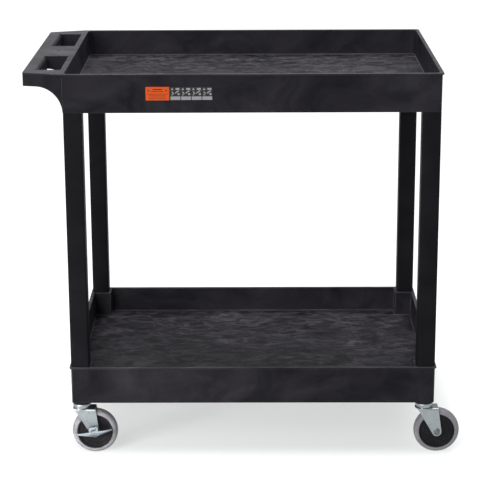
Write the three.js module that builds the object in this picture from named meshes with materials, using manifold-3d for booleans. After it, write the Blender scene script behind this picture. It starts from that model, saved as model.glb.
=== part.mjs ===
// Two-tub service trolley on four swivel casters, in millimetres, +Z up.
// Two moulded tubs stand on four square tube legs. The upper tub carries the push handle.
// The casters at the handle end have a rocker brake pedal.
import * as THREE from 'three';
import { mergeVertices } from 'three/addons/utils/BufferGeometryUtils.js';
import Module from 'manifold-3d';

const wasm = await Module();
wasm.setup();

// ---------------------------------------------------------------- driving dimensions

const CLEARANCE = 0.3; // between pieces that touch or fit into each other

// Tubs
const TUB_LENGTH = 813;
const TUB_WIDTH = 602;
const TUB_HEIGHT = 84; // rim top to the lower edge of the apron
const TUB_DEPTH = 60; // rim top to the floor that carries the load
const FLOOR_THICKNESS = 4.5;
const WALL_THICKNESS = 5;
const RIM_LIP = 3.2; // the rim stands out from the apron by this much
const RIM_THICKNESS = 4;
const RIM_CORNER_RADIUS = 9;
const TUB_CORNER_RADIUS = 12;
const APRON_DRAFT = 0.4;
const TUB_DRAFT = 1.4;
const UPPER_RIM_HEIGHT = 863;

// Ribs under the tub floors
const RIB_THICKNESS = 6;
const RIB_PITCH = 100;
const RIB_RECESS = 2; // the ribs end this far above the apron's lower edge

// Legs and their sockets
const LEG_SIZE = 40.6; // the legs' outer faces are flush with the aprons' lower edges
const LEG_CORNER_RADIUS = 5;
const NECK_STEP = 2.4; // a leg's ends step in by this on each side, to enter the sockets
const NECK_WALL = 3;
const BORE_CORNER_RADIUS = 1.4;
const SOCKET_LEDGE = 4.3; // the sockets stand out past the legs by this
const SOCKET_DROP = 1; // the lower sockets end this far below the rim
const TENON_LENGTH = 46;
const TENON_WALL = 4;
const SEAT_THICKNESS = 4;

// Push handle
const HANDLE_REACH = 82.5;
const HANDLE_THICKNESS = 29.4;
const HANDLE_TAPER = 27; // each side narrows by this much towards the far end
const HANDLE_CORNER_RADIUS = 4.5;
const CHEEK_INSET = 7.2; // below the deck, the cheeks stand back by this beside the tub
const CHEEK_INSET_FAR = 1; // and by this at the far end
const ARCH_RADIUS = 56.5;
const GRIP_WIDTH = 30;
const GRIP_ROUNDING = 9;
const HAND_HOLE_LENGTH = 176;
const HAND_HOLE_WALL = 4.5;
const CENTRE_WEB_WIDTH = 134;
const CORE_WALL = 5;

// Label plate on the upper apron
const LABEL_LENGTH = 142;
const LABEL_HEIGHT = 29;
const LABEL_THICKNESS = 0.5;
const LABEL_DROP = 27.5; // below the rim top
const LABEL_FROM_END = 181; // from the handle end of the tub

// Caster, swivel part
const CASTER_HEIGHT = 117; // floor to the top of the swivel head
const TRAIL = 28.4; // swivel axis to wheel axle
const BOSS_RADIUS = 20.5;
const BOSS_DROP = 4.7; // the caster bosses stand below the apron by this much
const STEM_RADIUS = 5.4;
const STEM_LENGTH = 38;
const STEM_TUBE_RADIUS = 10.5;
const STEM_TUBE_LENGTH = 52;
const HEAD_RADIUS = 20;
const HEAD_PLATE = 3.3;
const HEAD_SKIRT_WALL = 1.6;
const HEAD_SKIRT_DEPTH = 6.2;
const KING_PIN_RADIUS = 4.5;
const KING_PIN_HEAD_RADIUS = 7.5;
const KING_PIN_HEAD_HEIGHT = 3.6;
const RACE_INNER_RADIUS = 9.5;
const RACE_WALL = 1.4;
const RACE_BASE = 2.2;
const BALL_RADIUS = 2.1;

// Caster fork
const FORK_GAP = 31; // inside width between the two plates
const FORK_PLATE = 2.5;
const FORK_BEND_RADIUS = 4;
const CROWN_HEIGHT = 106;
const CROWN_LEAD = 14; // reach of the plates ahead of the swivel axis
const CROWN_TRAIL = 31; // reach behind it
const CROWN_SHOULDER = 3; // depth of the plates' upright shoulders
const CROWN_RADIUS = 20.5;
const FORK_END_RADIUS = 10.5;

// Wheel
const WHEEL_RADIUS = 50.8;
const WHEEL_SEGMENTS = 28;
const TYRE_WIDTH = 26.4;
const TYRE_DEPTH = 10.7;
const HUB_LENGTH = 28;
const HUB_RIM_WIDTH = 23;
const HUB_RIM_DEPTH = 3.4;
const HUB_WEB = 8;
const HUB_BOSS_RADIUS = 12;
const SLEEVE_RADIUS = 6;

// Axle
const AXLE_RADIUS = 4;
const HEX_ACROSS_FLATS = 13;
const BOLT_HEAD_HEIGHT = 4.5;
const NUT_HEIGHT = 6.5;
const THREAD_END = 2;

// Brake pedal
const CAM_RADIUS = 11;
const CAM_THICKNESS = 1.6;
const PEDAL_SHEET = 1.8;
const PEDAL_TAB_WIDTH = 21;
const PEDAL_TAB_RISE = 15; // top of the pedal's tab above the axle
const PEDAL_LENGTH = 82;
const PEDAL_SLOPE_OUT = 9.5;
const PEDAL_SLOPE_DOWN = 18;
const PEDAL_WING_TOP = 8; // along the slope, from the fold to the wings' upper edge
const PEDAL_WING_TIP = 3;
const PEDAL_TILT = THREE.MathUtils.degToRad(8.6);

// ---------------------------------------------------------------- worked-out places

const LEG_INSET = RIM_LIP + APRON_DRAFT;
const LEG_X = TUB_LENGTH / 2 - LEG_INSET - LEG_SIZE / 2;
const LEG_Y = TUB_WIDTH / 2 - LEG_INSET - LEG_SIZE / 2;
const LOWER_RIM_HEIGHT = CASTER_HEIGHT + CLEARANCE + BOSS_DROP + TUB_HEIGHT;
const FLOOR_UNDERSIDE = -TUB_DEPTH - FLOOR_THICKNESS; // counted from the rim top
const NECK_SIZE = LEG_SIZE - 2 * NECK_STEP;
const NECK_CORNER_RADIUS = LEG_CORNER_RADIUS - NECK_STEP;
const NECK_BOTTOM = LOWER_RIM_HEIGHT - TUB_HEIGHT + SEAT_THICKNESS + CLEARANCE;
const NECK_TOP = UPPER_RIM_HEIGHT + FLOOR_UNDERSIDE - CLEARANCE;
const LOWER_SHOULDER = LOWER_RIM_HEIGHT + CLEARANCE;
const UPPER_SHOULDER = UPPER_RIM_HEIGHT - TUB_HEIGHT - CLEARANCE;
const FORK_HALF = FORK_GAP / 2 + FORK_PLATE;
const HANDLE_END = -TUB_LENGTH / 2 - HANDLE_REACH;

// Leg and caster places: [name, x side, y side, braked]
const CORNERS = [
  ['front_left', -1, -1, true],
  ['front_right', 1, -1, false],
  ['rear_left', -1, 1, true],
  ['rear_right', 1, 1, false],
];

const FINISHES = {
  moulding: { color: 0x1b1b1d, roughness: 0.55, metalness: 0 },
  label: { color: 0xd9703a, roughness: 0.5, metalness: 0 },
  zinc: { color: 0xc4cacc, roughness: 0.32, metalness: 0.9 },
  steel: { color: 0xb6b9bb, roughness: 0.35, metalness: 0.9 },
  hub: { color: 0x1a191c, roughness: 0.5, metalness: 0 },
  tyre: { color: 0x8d8a8e, roughness: 0.7, metalness: 0 },
};

// ---------------------------------------------------------------- solids

function solid(geometry) {
  geometry.deleteAttribute('normal');
  geometry.deleteAttribute('uv');
  const merged = mergeVertices(geometry, 1e-4);
  const index = merged.index.array;
  const triVerts = [];
  for (let i = 0; i < index.length; i += 3) {
    const [a, b, c] = [index[i], index[i + 1], index[i + 2]];
    if (a !== b && b !== c && c !== a) triVerts.push(a, b, c);
  }
  const vertProperties = Float32Array.from(merged.attributes.position.array);
  return new wasm.Manifold(
    new wasm.Mesh({ numProp: 3, vertProperties, triVerts: Uint32Array.from(triVerts) }),
  );
}

function geometryOf(manifold) {
  const mesh = manifold.getMesh();
  const geometry = new THREE.BufferGeometry();
  geometry.setAttribute('position', new THREE.BufferAttribute(mesh.vertProperties, 3));
  geometry.setIndex(new THREE.BufferAttribute(mesh.triVerts, 1));
  geometry.computeVertexNormals();
  return geometry;
}

function box([x0, x1], [y0, y1], [z0, z1]) {
  const geometry = new THREE.BoxGeometry(x1 - x0, y1 - y0, z1 - z0);
  geometry.translate((x0 + x1) / 2, (y0 + y1) / 2, (z0 + z1) / 2);
  return solid(geometry);
}

function extruded(shape, depth, curveSegments = 5) {
  return new THREE.ExtrudeGeometry(shape, { depth, curveSegments, bevelEnabled: false });
}

// An outline in X and Y, from z0 up to z1
function column(shape, z0, z1, curveSegments) {
  return solid(extruded(shape, z1 - z0, curveSegments).translate(0, 0, z0));
}

// An outline in X and Z, from y0 to y1
function slabAlongY(shape, y0, y1, curveSegments) {
  const geometry = extruded(shape, y1 - y0, curveSegments);
  geometry.rotateX(Math.PI / 2);
  return solid(geometry.translate(0, y1, 0));
}

// An outline in Y and Z, from x0 to x1
function slabAlongX(shape, x0, x1, curveSegments) {
  const turn = new THREE.Matrix4().makeBasis(
    new THREE.Vector3(0, 1, 0),
    new THREE.Vector3(0, 0, 1),
    new THREE.Vector3(1, 0, 0),
  );
  return solid(extruded(shape, x1 - x0, curveSegments).applyMatrix4(turn).translate(x0, 0, 0));
}

// Turned solids take [radius, height] points, going round with the material on the left.
function turnedAboutY(profile, segments, startAngle = 0) {
  const points = profile.map(([radius, height]) => new THREE.Vector2(radius, height));
  return solid(new THREE.LatheGeometry(points, segments, startAngle));
}

function turnedAboutZ(profile, segments) {
  const points = profile.map(([radius, height]) => new THREE.Vector2(radius, height));
  return solid(new THREE.LatheGeometry(points, segments).rotateX(Math.PI / 2));
}

function closed(profile) {
  return [...profile, profile[0]];
}

function disc(radius, z0, z1, segments = 20) {
  return turnedAboutZ([[0, z0], [radius, z0], [radius, z1], [0, z1]], segments);
}

function rod(radius, y0, y1, segments = 10) {
  return turnedAboutY([[0, y0], [radius, y0], [radius, y1], [0, y1]], segments);
}

function roundedRectangle(length, width, radius) {
  const x = length / 2 - radius;
  const y = width / 2 - radius;
  const shape = new THREE.Shape();
  shape.absarc(x, y, radius, 0, Math.PI / 2);
  shape.absarc(-x, y, radius, Math.PI / 2, Math.PI);
  shape.absarc(-x, -y, radius, Math.PI, Math.PI * 1.5);
  shape.absarc(x, -y, radius, Math.PI * 1.5, Math.PI * 2);
  shape.closePath();
  return shape;
}

// A block whose lower end is smaller than its upper end by the draft on each side
function draftedBlock(length, width, radius, z0, z1, draft) {
  const geometry = extruded(roundedRectangle(length, width, radius), z1 - z0, 4);
  geometry.translate(0, 0, z0);
  const position = geometry.attributes.position;
  for (let i = 0; i < position.count; i += 1) {
    const share = (z1 - position.getZ(i)) / (z1 - z0);
    position.setX(i, position.getX(i) * (1 - (2 * draft * share) / length));
    position.setY(i, position.getY(i) * (1 - (2 * draft * share) / width));
  }
  return solid(geometry);
}

function atEachLeg(solidAt) {
  return CORNERS.map(([, sideX, sideY]) => solidAt(sideX, sideY));
}

function joined(first, others) {
  return others.reduce((sum, next) => sum.add(next), first);
}

function cut(first, others) {
  return others.reduce((rest, next) => rest.subtract(next), first);
}

// ---------------------------------------------------------------- tubs, from the rim top down

function tubCavity() {
  const inset = 2 * (RIM_LIP + WALL_THICKNESS);
  const [length, width] = [TUB_LENGTH - inset, TUB_WIDTH - inset];
  return draftedBlock(length, width, TUB_CORNER_RADIUS, -TUB_DEPTH, RIM_THICKNESS, TUB_DRAFT);
}

function tubShell() {
  const rim = column(
    roundedRectangle(TUB_LENGTH, TUB_WIDTH, RIM_CORNER_RADIUS), -RIM_THICKNESS, 0,
  );
  const apron = draftedBlock(
    TUB_LENGTH - 2 * RIM_LIP,
    TUB_WIDTH - 2 * RIM_LIP,
    RIM_CORNER_RADIUS - RIM_LIP,
    -TUB_HEIGHT,
    -RIM_THICKNESS / 2,
    APRON_DRAFT,
  );
  return rim.add(apron);
}

// The ribs are what is left between the square hollows under the floor.
function undersideHollows() {
  const inset = RIM_LIP + APRON_DRAFT + WALL_THICKNESS;
  const [halfX, halfY] = [TUB_LENGTH / 2 - inset, TUB_WIDTH / 2 - inset];
  const count = (half) => Math.round((2 * half) / RIB_PITCH);
  const [countX, countY] = [count(halfX), count(halfY)];
  const stepX = (2 * halfX + RIB_THICKNESS) / countX;
  const stepY = (2 * halfY + RIB_THICKNESS) / countY;
  const below = -TUB_HEIGHT - 1;
  const hollows = [box([-halfX, halfX], [-halfY, halfY], [below, -TUB_HEIGHT + RIB_RECESS])];
  for (let i = 0; i < countX; i += 1) {
    for (let j = 0; j < countY; j += 1) {
      const x = -halfX + i * stepX;
      const y = -halfY + j * stepY;
      const [x1, y1] = [x + stepX - RIB_THICKNESS, y + stepY - RIB_THICKNESS];
      hollows.push(box([x, x1], [y, y1], [below, FLOOR_UNDERSIDE]));
    }
  }
  return hollows;
}

// A block of plastic round a leg, out to the inside of the apron
function socketBlock(sideX, sideY, z0, z1) {
  const inner = LEG_SIZE / 2 + SOCKET_LEDGE;
  const outer = LEG_INSET + NECK_STEP / 3;
  const xs = [sideX * (LEG_X - inner), sideX * (TUB_LENGTH / 2 - outer)];
  const ys = [sideY * (LEG_Y - inner), sideY * (TUB_WIDTH / 2 - outer)];
  return box(xs.sort((a, b) => a - b), ys.sort((a, b) => a - b), [z0, z1]);
}

function legWell(sideX, sideY, z0, z1) {
  const size = NECK_SIZE + 2 * CLEARANCE;
  const outline = roundedRectangle(size, size, NECK_CORNER_RADIUS + CLEARANCE);
  return column(outline, z0, z1, 3).translate([sideX * LEG_X, sideY * LEG_Y, 0]);
}

// A square plug that reaches down into the top of a leg, hollow from below
function tenon(sideX, sideY) {
  const half = NECK_SIZE / 2 - NECK_WALL - CLEARANCE;
  const hollow = half - TENON_WALL;
  const tip = FLOOR_UNDERSIDE - TENON_LENGTH;
  const outline = roundedRectangle(2 * half, 2 * half, BORE_CORNER_RADIUS);
  const plug = column(outline, tip, FLOOR_UNDERSIDE + 1, 2);
  const core = box([-hollow, hollow], [-hollow, hollow], [tip - 1, FLOOR_UNDERSIDE]);
  return plug.subtract(core).translate([sideX * LEG_X, sideY * LEG_Y, 0]);
}

// Half the handle's width at a distance from the tub's end, below the deck
function cheekHalfWidth(reach) {
  const share = reach / HANDLE_REACH;
  const inset = CHEEK_INSET + (CHEEK_INSET_FAR - CHEEK_INSET) * share;
  return TUB_WIDTH / 2 - inset - HANDLE_TAPER * share;
}

// The handle's outline from above, from its half width beside the tub to that at its far end
function handlePlan(near, far) {
  const root = -TUB_LENGTH / 2 + RIM_LIP + WALL_THICKNESS;
  const r = HANDLE_CORNER_RADIUS;
  const shape = new THREE.Shape();
  shape.moveTo(root, -near);
  shape.lineTo(root, near);
  shape.lineTo(-TUB_LENGTH / 2, near);
  shape.lineTo(HANDLE_END + r, far + ((near - far) * r) / HANDLE_REACH);
  shape.quadraticCurveTo(HANDLE_END, far, HANDLE_END, far - r);
  shape.lineTo(HANDLE_END, -far + r);
  shape.quadraticCurveTo(HANDLE_END, -far, HANDLE_END + r, -far - ((near - far) * r) / HANDLE_REACH);
  shape.lineTo(-TUB_LENGTH / 2, -near);
  shape.closePath();
  return shape;
}

// Side view of the handle: level grip, then an arch down to the apron's lower edge
function handleSide() {
  const root = -TUB_LENGTH / 2 + RIM_LIP + WALL_THICKNESS + 1;
  const archEnd = -TUB_LENGTH / 2 + RIM_LIP;
  const shape = new THREE.Shape();
  shape.moveTo(HANDLE_END - 1, 0);
  shape.lineTo(HANDLE_END - 1, -HANDLE_THICKNESS);
  shape.lineTo(archEnd - ARCH_RADIUS, -HANDLE_THICKNESS);
  shape.absarc(
    archEnd - ARCH_RADIUS, -HANDLE_THICKNESS - ARCH_RADIUS, ARCH_RADIUS, Math.PI / 2, 0, true,
  );
  shape.lineTo(root, -HANDLE_THICKNESS - ARCH_RADIUS);
  shape.lineTo(root, 0);
  shape.closePath();
  return shape;
}

// Side view of a hand hole, with the grip's inner upper edge left rounded
function handHoleSide() {
  const grip = HANDLE_END + GRIP_WIDTH;
  const wall = -TUB_LENGTH / 2 - HAND_HOLE_WALL;
  const shape = new THREE.Shape();
  shape.moveTo(grip - GRIP_ROUNDING, 1);
  shape.lineTo(grip - GRIP_ROUNDING, 0);
  shape.absarc(grip - GRIP_ROUNDING, -GRIP_ROUNDING, GRIP_ROUNDING, Math.PI / 2, 0, true);
  shape.lineTo(grip, -TUB_HEIGHT - 1);
  shape.lineTo(wall, -TUB_HEIGHT - 1);
  shape.lineTo(wall, 1);
  shape.closePath();
  return shape;
}

function handleSolid() {
  const deckPlan = handlePlan(TUB_WIDTH / 2, TUB_WIDTH / 2 - HANDLE_TAPER);
  const cheekPlan = handlePlan(cheekHalfWidth(0), cheekHalfWidth(HANDLE_REACH));
  const deck = column(deckPlan, -RIM_THICKNESS, 0, 4);
  const core = column(cheekPlan, -TUB_HEIGHT, 0, 4);
  const side = slabAlongY(handleSide(), -TUB_WIDTH / 2, TUB_WIDTH / 2, 8);
  return deck.add(core.intersect(side));
}

function handleCuts() {
  const near = CENTRE_WEB_WIDTH / 2;
  const far = near + HAND_HOLE_LENGTH;
  const xs = [HANDLE_END + GRIP_WIDTH + CORE_WALL, -TUB_LENGTH / 2 - HAND_HOLE_WALL];
  const zs = [-TUB_HEIGHT - 1, -RIM_THICKNESS - CORE_WALL];
  const reach = HANDLE_REACH - GRIP_WIDTH - CORE_WALL;
  const cheek = cheekHalfWidth(reach) - CORE_WALL;
  return [
    slabAlongY(handHoleSide(), near, far, 4),
    slabAlongY(handHoleSide(), -far, -near, 4),
    box(xs, [-near + CORE_WALL, near - CORE_WALL], zs),
    box(xs, [far + CORE_WALL, cheek], zs),
    box(xs, [-cheek, -far - CORE_WALL], zs),
  ];
}

function upperTub() {
  const blocks = atEachLeg((x, y) => socketBlock(x, y, -TUB_HEIGHT, -TUB_DEPTH - 1));
  const wells = atEachLeg((x, y) => legWell(x, y, -TUB_HEIGHT - 1, FLOOR_UNDERSIDE));
  const shell = tubShell().add(handleSolid());
  const hollowed = cut(shell, [tubCavity(), ...undersideHollows(), ...handleCuts()]);
  return joined(cut(joined(hollowed, blocks), wells), atEachLeg(tenon));
}

function lowerTub() {
  const seat = -TUB_HEIGHT + SEAT_THICKNESS;
  const bossEnd = -TUB_HEIGHT - BOSS_DROP;
  const tubeEnd = -TUB_HEIGHT + STEM_TUBE_LENGTH;
  const blocks = atEachLeg((x, y) => socketBlock(x, y, -TUB_HEIGHT, -SOCKET_DROP));
  const wells = atEachLeg((x, y) => legWell(x, y, seat, 1));
  const at = (x, y) => [x * LEG_X, y * LEG_Y, 0];
  const bosses = atEachLeg((x, y) => disc(BOSS_RADIUS, bossEnd, seat).translate(at(x, y)));
  const tubes = atEachLeg((x, y) => disc(STEM_TUBE_RADIUS, seat - 1, tubeEnd, 14).translate(at(x, y)));
  const bore = disc(STEM_RADIUS + CLEARANCE, bossEnd - 1, tubeEnd + 1, 10);
  const bores = atEachLeg((x, y) => bore.translate(at(x, y)));
  const hollowed = cut(tubShell(), [tubCavity(), ...undersideHollows()]);
  const cornered = cut(joined(hollowed, blocks), wells);
  return cut(joined(joined(cornered, bosses), tubes), bores);
}

// A tube whose ends step in to enter the sockets, so that its shoulders rest on the tubs
function leg() {
  const outline = roundedRectangle(LEG_SIZE, LEG_SIZE, LEG_CORNER_RADIUS);
  const neck = roundedRectangle(NECK_SIZE, NECK_SIZE, NECK_CORNER_RADIUS);
  const inside = NECK_SIZE - 2 * NECK_WALL;
  const bore = roundedRectangle(inside, inside, BORE_CORNER_RADIUS);
  return column(outline, LOWER_SHOULDER, UPPER_SHOULDER, 3)
    .add(column(neck, NECK_BOTTOM, NECK_TOP, 2))
    .subtract(column(bore, NECK_BOTTOM - 1, NECK_TOP + 1, 2));
}

function labelPlate() {
  const x = -TUB_LENGTH / 2 + LABEL_FROM_END;
  const back = -TUB_WIDTH / 2 + RIM_LIP - CLEARANCE;
  const top = UPPER_RIM_HEIGHT - LABEL_DROP;
  return box([x, x + LABEL_LENGTH], [back - LABEL_THICKNESS, back], [top - LABEL_HEIGHT, top]);
}

// ---------------------------------------------------------------- caster, about its swivel axis

const CROWN_UNDERSIDE = CROWN_HEIGHT - FORK_PLATE;
const RACE_RADIUS = HEAD_RADIUS - HEAD_SKIRT_WALL - CLEARANCE - 0.2;
const HEAD_UNDERSIDE = CASTER_HEIGHT - HEAD_PLATE;
const BALL_HEIGHT = CROWN_HEIGHT + CLEARANCE + RACE_BASE + CLEARANCE + BALL_RADIUS;
const BALL_TRACK_RADIUS = (RACE_INNER_RADIUS + RACE_RADIUS - RACE_WALL) / 2;

// Fixed half of the swivel: the stem, the head plate with its skirt, and the king pin below
function swivelHead() {
  const headTop = CROWN_UNDERSIDE - CLEARANCE;
  const headBottom = headTop - KING_PIN_HEAD_HEIGHT;
  const skirtInside = HEAD_RADIUS - HEAD_SKIRT_WALL;
  const skirtEnd = CASTER_HEIGHT - HEAD_SKIRT_DEPTH;
  const stemEnd = CASTER_HEIGHT + STEM_LENGTH;
  return turnedAboutZ([
    [0, headBottom],
    [KING_PIN_HEAD_RADIUS - 1.4, headBottom],
    [KING_PIN_HEAD_RADIUS, headBottom + 1.4],
    [KING_PIN_HEAD_RADIUS, headTop],
    [KING_PIN_RADIUS, headTop],
    [KING_PIN_RADIUS, HEAD_UNDERSIDE],
    [skirtInside, HEAD_UNDERSIDE],
    [skirtInside, skirtEnd],
    [HEAD_RADIUS, skirtEnd],
    [HEAD_RADIUS, CASTER_HEIGHT - 1],
    [HEAD_RADIUS - 1, CASTER_HEIGHT],
    [STEM_RADIUS, CASTER_HEIGHT],
    [STEM_RADIUS, stemEnd - 1.5],
    [STEM_RADIUS - 1.5, stemEnd],
    [0, stemEnd],
  ], 20);
}

function lowerRace() {
  const bottom = CROWN_HEIGHT + CLEARANCE;
  const top = BALL_HEIGHT + BALL_RADIUS / 2;
  const wallInside = RACE_RADIUS - RACE_WALL;
  return turnedAboutZ(closed([
    [RACE_INNER_RADIUS, bottom],
    [RACE_RADIUS, bottom],
    [RACE_RADIUS, top],
    [wallInside, top],
    [wallInside, bottom + RACE_BASE],
    [RACE_INNER_RADIUS, bottom + RACE_BASE],
  ]), 20);
}

function ballRing() {
  const profile = [];
  for (let i = 0; i < 6; i += 1) {
    const angle = (i * Math.PI) / 3;
    const radius = BALL_TRACK_RADIUS + BALL_RADIUS * Math.cos(angle);
    profile.push([radius, BALL_HEIGHT + BALL_RADIUS * Math.sin(angle)]);
  }
  return turnedAboutZ(closed(profile), 14);
}

// The sheet's section: a channel with rounded shoulders, open below
function forkSection() {
  const inner = FORK_GAP / 2;
  const innerBend = FORK_BEND_RADIUS - FORK_PLATE;
  const bendY = FORK_HALF - FORK_BEND_RADIUS;
  const bendZ = CROWN_HEIGHT - FORK_BEND_RADIUS;
  const shape = new THREE.Shape();
  shape.moveTo(inner, 0);
  shape.lineTo(FORK_HALF, 0);
  shape.absarc(bendY, bendZ, FORK_BEND_RADIUS, 0, Math.PI / 2);
  shape.absarc(-bendY, bendZ, FORK_BEND_RADIUS, Math.PI / 2, Math.PI);
  shape.lineTo(-FORK_HALF, 0);
  shape.lineTo(-inner, 0);
  shape.absarc(-bendY, bendZ, innerBend, Math.PI, Math.PI / 2, true);
  shape.absarc(bendY, bendZ, innerBend, Math.PI / 2, 0, true);
  shape.closePath();
  return shape;
}

// Where a line from a point touches the rounded end round the axle, as an angle
function tangentAngle(x, z, side) {
  const [dx, dz] = [x - TRAIL, z - WHEEL_RADIUS];
  return Math.atan2(dz, dx) + side * Math.acos(FORK_END_RADIUS / Math.hypot(dx, dz));
}

function forkSide() {
  const shoulder = CROWN_HEIGHT - CROWN_SHOULDER;
  const lead = tangentAngle(-CROWN_LEAD, shoulder, 1);
  const trail = tangentAngle(CROWN_TRAIL, shoulder, -1) + 2 * Math.PI;
  const shape = new THREE.Shape();
  shape.moveTo(CROWN_TRAIL, shoulder);
  shape.lineTo(CROWN_TRAIL, CROWN_HEIGHT + 1);
  shape.lineTo(-CROWN_LEAD, CROWN_HEIGHT + 1);
  shape.lineTo(-CROWN_LEAD, shoulder);
  shape.absarc(TRAIL, WHEEL_RADIUS, FORK_END_RADIUS, lead, trail);
  shape.closePath();
  return shape;
}

function fork() {
  const channel = slabAlongX(forkSection(), -CROWN_RADIUS, CROWN_TRAIL + CROWN_RADIUS, 3);
  const side = slabAlongY(forkSide(), -FORK_HALF - 1, FORK_HALF + 1, 8);
  const crown = disc(CROWN_RADIUS, CROWN_UNDERSIDE, CROWN_HEIGHT);
  const pinHole = disc(KING_PIN_RADIUS + CLEARANCE, CROWN_UNDERSIDE - 1, CROWN_HEIGHT + 1, 12);
  const axleHole = rod(AXLE_RADIUS + CLEARANCE, -FORK_HALF - 1, FORK_HALF + 1);
  return channel.intersect(side).add(crown).subtract(pinHole)
    .subtract(axleHole.translate([TRAIL, 0, WHEEL_RADIUS]));
}

// ---------------------------------------------------------------- wheel, about its axle

function tyre() {
  const inner = WHEEL_RADIUS - TYRE_DEPTH;
  const half = TYRE_WIDTH / 2;
  const crown = WHEEL_RADIUS / Math.cos(Math.PI / WHEEL_SEGMENTS);
  const side = [
    [inner, -half + 0.6],
    [crown - 5.2, -half],
    [crown - 1.6, -half + 4],
    [crown, -half + 9.5],
  ];
  const otherSide = side.map(([radius, y]) => [radius, -y]).reverse();
  return turnedAboutY(closed([...side, ...otherSide]), WHEEL_SEGMENTS, Math.PI / WHEEL_SEGMENTS);
}

function hub() {
  const outer = WHEEL_RADIUS - TYRE_DEPTH - CLEARANCE;
  const rimInside = outer - HUB_RIM_DEPTH;
  const bore = SLEEVE_RADIUS + CLEARANCE;
  const [rim, web, boss] = [HUB_RIM_WIDTH / 2, HUB_WEB / 2, HUB_LENGTH / 2];
  const side = [
    [bore, -boss],
    [HUB_BOSS_RADIUS - 1, -boss],
    [HUB_BOSS_RADIUS, -web],
    [rimInside, -web],
    [rimInside, -rim],
    [outer, -rim],
  ];
  const otherSide = side.map(([radius, y]) => [radius, -y]).reverse();
  return turnedAboutY(closed([...side, ...otherSide]), 20);
}

function axleSleeve() {
  const half = FORK_GAP / 2 - CLEARANCE;
  const bore = AXLE_RADIUS + CLEARANCE;
  return turnedAboutY(closed([
    [bore, -half], [SLEEVE_RADIUS, -half], [SLEEVE_RADIUS, half], [bore, half],
  ]), 12);
}

function hexagon(y0, y1) {
  const corner = HEX_ACROSS_FLATS / 2 / Math.cos(Math.PI / 6);
  return rod(corner, y0, y1, 6);
}

// Space that the brake's cam and tab take up between the fork and the bolt head
const BRAKE_STACK = CAM_THICKNESS + CLEARANCE + PEDAL_SHEET + CLEARANCE;

function axleBolt(braked) {
  const seat = -FORK_HALF - CLEARANCE - (braked ? BRAKE_STACK : 0);
  const tip = FORK_HALF + CLEARANCE + NUT_HEIGHT + THREAD_END;
  return hexagon(seat - BOLT_HEAD_HEIGHT, seat).add(rod(AXLE_RADIUS, seat - 1, tip));
}

function axleNut() {
  const seat = FORK_HALF + CLEARANCE;
  const bore = rod(AXLE_RADIUS + CLEARANCE, seat - 1, seat + NUT_HEIGHT + 1);
  return hexagon(seat, seat + NUT_HEIGHT).subtract(bore);
}

// ---------------------------------------------------------------- brake, about the axle

const CAM_SEAT = -FORK_HALF - CLEARANCE;
const TAB_BACK = CAM_SEAT - CAM_THICKNESS - CLEARANCE;
const TAB_FRONT = TAB_BACK - PEDAL_SHEET;

function brakeCam() {
  const [front, back, bore] = [CAM_SEAT - CAM_THICKNESS, CAM_SEAT, AXLE_RADIUS + CLEARANCE];
  return turnedAboutY(closed([
    [bore, front], [CAM_RADIUS, front], [CAM_RADIUS, back], [bore, back],
  ]), 16);
}

// The sloping blade, laid flat: x along the pedal, y up the slope from its lowest point
function bladeOutline(slope) {
  const tab = PEDAL_TAB_WIDTH / 2;
  const tip = PEDAL_LENGTH / 2;
  const wingTop = slope - PEDAL_WING_TOP;
  const wingBottom = wingTop - PEDAL_WING_TIP;
  const shape = new THREE.Shape();
  shape.moveTo(-tab, slope);
  shape.lineTo(-tab - 2, wingTop);
  shape.lineTo(-tip, wingTop);
  shape.lineTo(-tip, wingBottom);
  shape.quadraticCurveTo(-tip / 2.2, 0.2 * wingBottom, 0, 0);
  shape.quadraticCurveTo(tip / 2.2, 0.2 * wingBottom, tip, wingBottom);
  shape.lineTo(tip, wingTop);
  shape.lineTo(tab + 2, wingTop);
  shape.lineTo(tab, slope);
  shape.closePath();
  return shape;
}

function brakePedal() {
  const tab = PEDAL_TAB_WIDTH / 2;
  const slope = Math.hypot(PEDAL_SLOPE_OUT, PEDAL_SLOPE_DOWN);
  const foldY = TAB_FRONT - CLEARANCE - BOLT_HEAD_HEIGHT - PEDAL_SHEET;
  const plate = new THREE.Shape();
  plate.moveTo(tab, PEDAL_TAB_RISE);
  plate.lineTo(-tab, PEDAL_TAB_RISE);
  plate.absarc(0, 0, tab, Math.PI, Math.PI * 2);
  plate.closePath();
  const tabPlate = slabAlongY(plate, TAB_FRONT, TAB_BACK, 10);
  const bridge = box(
    [-tab, tab], [foldY - PEDAL_SHEET, TAB_BACK], [PEDAL_TAB_RISE - PEDAL_SHEET, PEDAL_TAB_RISE],
  );
  const lean = Math.atan2(PEDAL_SLOPE_DOWN, PEDAL_SLOPE_OUT);
  const blade = extruded(bladeOutline(slope), PEDAL_SHEET, 6);
  blade.translate(0, -slope, 0);
  blade.rotateX(lean);
  blade.translate(0, foldY, PEDAL_TAB_RISE);
  const bore = rod(AXLE_RADIUS + CLEARANCE, TAB_FRONT - 1, TAB_BACK + 1);
  const level = tabPlate.subtract(bore).add(bridge).add(solid(blade));
  return level.rotate([0, -THREE.MathUtils.radToDeg(PEDAL_TILT), 0]);
}

// ---------------------------------------------------------------- assembly

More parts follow.
